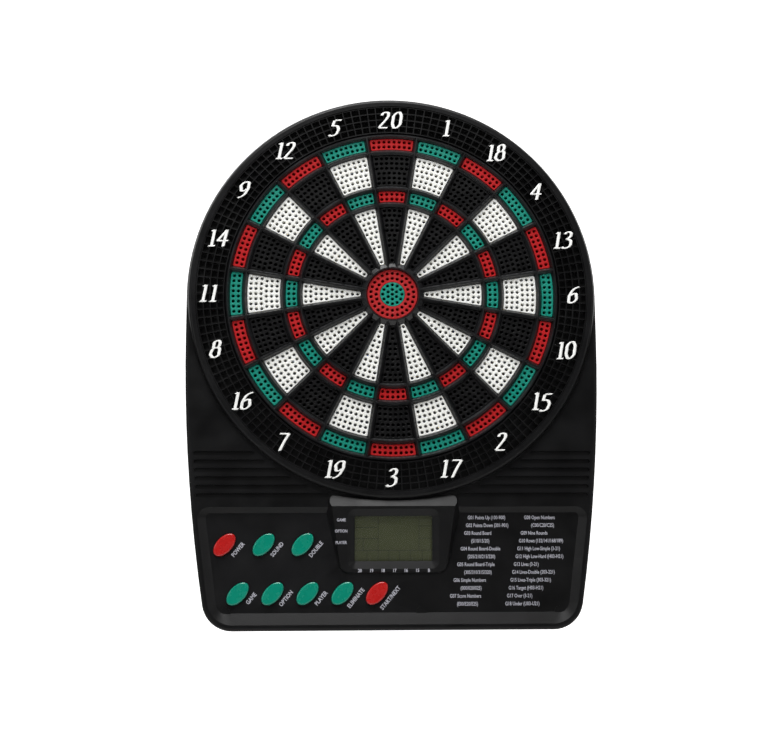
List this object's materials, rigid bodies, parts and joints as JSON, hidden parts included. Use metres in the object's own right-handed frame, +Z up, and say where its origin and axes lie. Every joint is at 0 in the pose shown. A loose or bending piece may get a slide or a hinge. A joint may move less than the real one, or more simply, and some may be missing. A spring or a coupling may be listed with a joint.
{
  "type": "electronic dartboard",
  "caption": "Wall-hung electronic soft-tip dartboard with a half-round top, sliding target segments, a number ring, oval keys, a display and a battery door.",
  "frame": {"origin": "where the bull's axis meets the wall plane, on the rear cover's flat back", "axes": "+X to the player's right, +Y from the front into the wall, +Z up"},
  "size_m": [0.3352, 0.028, 0.4358],
  "materials": {
    "casing_black": "fine-grained moulded ABS",
    "ring_black": "moulded polypropylene, satin",
    "spider_black": "moulded nylon, satin",
    "segment_black": "moulded nylon, satin",
    "segment_white": "moulded nylon, satin",
    "segment_red": "moulded nylon, satin",
    "segment_teal": "moulded nylon, satin",
    "key_red": "polished",
    "key_teal": "polished",
    "foam": "open-cell foam",
    "film": "printed polyester film",
    "plate_grey": "moulded, matt",
    "silicone": "matt silicone",
    "board_green": "phenolic laminate",
    "component_black": "epoxy",
    "clear_window": "polished acrylic",
    "lcd_olive": "liquid crystal display with reflective film",
    "tinned": "tinned",
    "zinc_plated": "zinc plated",
    "paper_cone": "pressed paper",
    "ferrite": "sintered",
    "cell_jacket": "printed sleeve",
    "wire_jacket": "PVC"
  },
  "bodies": {
    "board": {"front_housing": "casing_black", "rear_cover": "casing_black", "catch_ring": "ring_black", "spider": "spider_black", "sensor_pad": "foam", "matrix_rear_film": "film", "matrix_spacer": "film", "matrix_front_film": "film", "matrix_tails": "film", "pressure_plate": "plate_grey", "keypad_mat": "silicone", "main_board": "board_green", "board_components": "component_black", "lcd_window": "clear_window", "lcd_glass": "lcd_olive", "lcd_pins": "tinned", "speaker_frame": "zinc_plated", "speaker_cone": "paper_cone", "speaker_magnet": "ferrite", "battery_cells": "cell_jacket", "battery_springs": "tinned", "battery_plates": "tinned", "speaker_leads": "wire_jacket", "housing_screws": "zinc_plated", "plate_screws": "zinc_plated", "board_screws": "zinc_plated"},
    "wedge_20": {"wedge_20": "segment_black"},
    "wedge_01": {"wedge_01": "segment_white"},
    "wedge_18": {"wedge_18": "segment_black"},
    "wedge_04": {"wedge_04": "segment_white"},
    "wedge_13": {"wedge_13": "segment_black"},
    "wedge_06": {"wedge_06": "segment_white"},
    "wedge_10": {"wedge_10": "segment_black"},
    "wedge_15": {"wedge_15": "segment_white"},
    "wedge_02": {"wedge_02": "segment_black"},
    "wedge_17": {"wedge_17": "segment_white"},
    "wedge_03": {"wedge_03": "segment_black"},
    "wedge_19": {"wedge_19": "segment_white"},
    "wedge_07": {"wedge_07": "segment_black"},
    "wedge_16": {"wedge_16": "segment_white"},
    "wedge_08": {"wedge_08": "segment_black"},
    "wedge_11": {"wedge_11": "segment_white"},
    "wedge_14": {"wedge_14": "segment_black"},
    "wedge_09": {"wedge_09": "segment_white"},
    "wedge_12": {"wedge_12": "segment_black"},
    "wedge_05": {"wedge_05": "segment_white"},
    "outer_bull": {"outer_bull": "segment_red"},
    "inner_bull": {"inner_bull": "segment_teal"},
    "button_power": {"button_power": "key_red"},
    "button_sound": {"button_sound": "key_teal"},
    "button_double": {"button_double": "key_teal"},
    "button_game": {"button_game": "key_teal"},
    "button_option": {"button_option": "key_teal"},
    "button_player": {"button_player": "key_teal"},
    "button_eliminate": {"button_eliminate": "key_teal"},
    "button_start": {"button_start": "key_red"},
    "battery_door": {"battery_door": "casing_black"}
  },
  "joints": [
    {"name": "wedge_20_press", "type": "slide", "parent": "board", "child": "wedge_20", "axis": [0, 1, 0], "range_m": [0, 0.0011], "stiffness_N_per_m": 1500, "deforming": ["sensor_pad"]},
    {"name": "wedge_01_press", "type": "slide", "parent": "board", "child": "wedge_01", "axis": [0, 1, 0], "range_m": [0, 0.0011], "stiffness_N_per_m": 1500, "deforming": ["sensor_pad"]},
    {"name": "wedge_18_press", "type": "slide", "parent": "board", "child": "wedge_18", "axis": [0, 1, 0], "range_m": [0, 0.0011], "stiffness_N_per_m": 1500, "deforming": ["sensor_pad"]},
    {"name": "wedge_04_press", "type": "slide", "parent": "board", "child": "wedge_04", "axis": [0, 1, 0], "range_m": [0, 0.0011], "stiffness_N_per_m": 1500, "deforming": ["sensor_pad"]},
    {"name": "wedge_13_press", "type": "slide", "parent": "board", "child": "wedge_13", "axis": [0, 1, 0], "range_m": [0, 0.0011], "stiffness_N_per_m": 1500, "deforming": ["sensor_pad"]},
    {"name": "wedge_06_press", "type": "slide", "parent": "board", "child": "wedge_06", "axis": [0, 1, 0], "range_m": [0, 0.0011], "stiffness_N_per_m": 1500, "deforming": ["sensor_pad"]},
    {"name": "wedge_10_press", "type": "slide", "parent": "board", "child": "wedge_10", "axis": [0, 1, 0], "range_m": [0, 0.0011], "stiffness_N_per_m": 1500, "deforming": ["sensor_pad"]},
    {"name": "wedge_15_press", "type": "slide", "parent": "board", "child": "wedge_15", "axis": [0, 1, 0], "range_m": [0, 0.0011], "stiffness_N_per_m": 1500, "deforming": ["sensor_pad"]},
    {"name": "wedge_02_press", "type": "slide", "parent": "board", "child": "wedge_02", "axis": [0, 1, 0], "range_m": [0, 0.0011], "stiffness_N_per_m": 1500, "deforming": ["sensor_pad"]},
    {"name": "wedge_17_press", "type": "slide", "parent": "board", "child": "wedge_17", "axis": [0, 1, 0], "range_m": [0, 0.0011], "stiffness_N_per_m": 1500, "deforming": ["sensor_pad"]},
    {"name": "wedge_03_press", "type": "slide", "parent": "board", "child": "wedge_03", "axis": [0, 1, 0], "range_m": [0, 0.0011], "stiffness_N_per_m": 1500, "deforming": ["sensor_pad"]},
    {"name": "wedge_19_press", "type": "slide", "parent": "board", "child": "wedge_19", "axis": [0, 1, 0], "range_m": [0, 0.0011], "stiffness_N_per_m": 1500, "deforming": ["sensor_pad"]},
    {"name": "wedge_07_press", "type": "slide", "parent": "board", "child": "wedge_07", "axis": [0, 1, 0], "range_m": [0, 0.0011], "stiffness_N_per_m": 1500, "deforming": ["sensor_pad"]},
    {"name": "wedge_16_press", "type": "slide", "parent": "board", "child": "wedge_16", "axis": [0, 1, 0], "range_m": [0, 0.0011], "stiffness_N_per_m": 1500, "deforming": ["sensor_pad"]},
    {"name": "wedge_08_press", "type": "slide", "parent": "board", "child": "wedge_08", "axis": [0, 1, 0], "range_m": [0, 0.0011], "stiffness_N_per_m": 1500, "deforming": ["sensor_pad"]},
    {"name": "wedge_11_press", "type": "slide", "parent": "board", "child": "wedge_11", "axis": [0, 1, 0], "range_m": [0, 0.0011], "stiffness_N_per_m": 1500, "deforming": ["sensor_pad"]},
    {"name": "wedge_14_press", "type": "slide", "parent": "board", "child": "wedge_14", "axis": [0, 1, 0], "range_m": [0, 0.0011], "stiffness_N_per_m": 1500, "deforming": ["sensor_pad"]},
    {"name": "wedge_09_press", "type": "slide", "parent": "board", "child": "wedge_09", "axis": [0, 1, 0], "range_m": [0, 0.0011], "stiffness_N_per_m": 1500, "deforming": ["sensor_pad"]},
    {"name": "wedge_12_press", "type": "slide", "parent": "board", "child": "wedge_12", "axis": [0, 1, 0], "range_m": [0, 0.0011], "stiffness_N_per_m": 1500, "deforming": ["sensor_pad"]},
    {"name": "wedge_05_press", "type": "slide", "parent": "board", "child": "wedge_05", "axis": [0, 1, 0], "range_m": [0, 0.0011], "stiffness_N_per_m": 1500, "deforming": ["sensor_pad"]},
    {"name": "outer_bull_press", "type": "slide", "parent": "board", "child": "outer_bull", "axis": [0, 1, 0], "range_m": [0, 0.0011], "stiffness_N_per_m": 1500, "deforming": ["sensor_pad"]},
    {"name": "inner_bull_press", "type": "slide", "parent": "board", "child": "inner_bull", "axis": [0, 1, 0], "range_m": [0, 0.0011], "stiffness_N_per_m": 1500, "deforming": ["sensor_pad"]},
    {"name": "button_power_press", "type": "slide", "parent": "board", "child": "button_power", "axis": [0, 1, 0], "range_m": [0, 0.0012], "stiffness_N_per_m": 800, "deforming": ["keypad_mat"]},
    {"name": "button_sound_press", "type": "slide", "parent": "board", "child": "button_sound", "axis": [0, 1, 0], "range_m": [0, 0.0012], "stiffness_N_per_m": 800, "deforming": ["keypad_mat"]},
    {"name": "button_double_press", "type": "slide", "parent": "board", "child": "button_double", "axis": [0, 1, 0], "range_m": [0, 0.0012], "stiffness_N_per_m": 800, "deforming": ["keypad_mat"]},
    {"name": "button_game_press", "type": "slide", "parent": "board", "child": "button_game", "axis": [0, 1, 0], "range_m": [0, 0.0012], "stiffness_N_per_m": 800, "deforming": ["keypad_mat"]},
    {"name": "button_option_press", "type": "slide", "parent": "board", "child": "button_option", "axis": [0, 1, 0], "range_m": [0, 0.0012], "stiffness_N_per_m": 800, "deforming": ["keypad_mat"]},
    {"name": "button_player_press", "type": "slide", "parent": "board", "child": "button_player", "axis": [0, 1, 0], "range_m": [0, 0.0012], "stiffness_N_per_m": 800, "deforming": ["keypad_mat"]},
    {"name": "button_eliminate_press", "type": "slide", "parent": "board", "child": "button_eliminate", "axis": [0, 1, 0], "range_m": [0, 0.0012], "stiffness_N_per_m": 800, "deforming": ["keypad_mat"]},
    {"name": "button_start_press", "type": "slide", "parent": "board", "child": "button_start", "axis": [0, 1, 0], "range_m": [0, 0.0012], "stiffness_N_per_m": 800, "deforming": ["keypad_mat"]},
    {"name": "battery_door_hinge", "type": "hinge", "parent": "board", "child": "battery_door", "pos_m": [0.098, -0.0018, -0.18965], "axis": [1, 0, 0], "range_deg": [0, 75]}
  ]
}
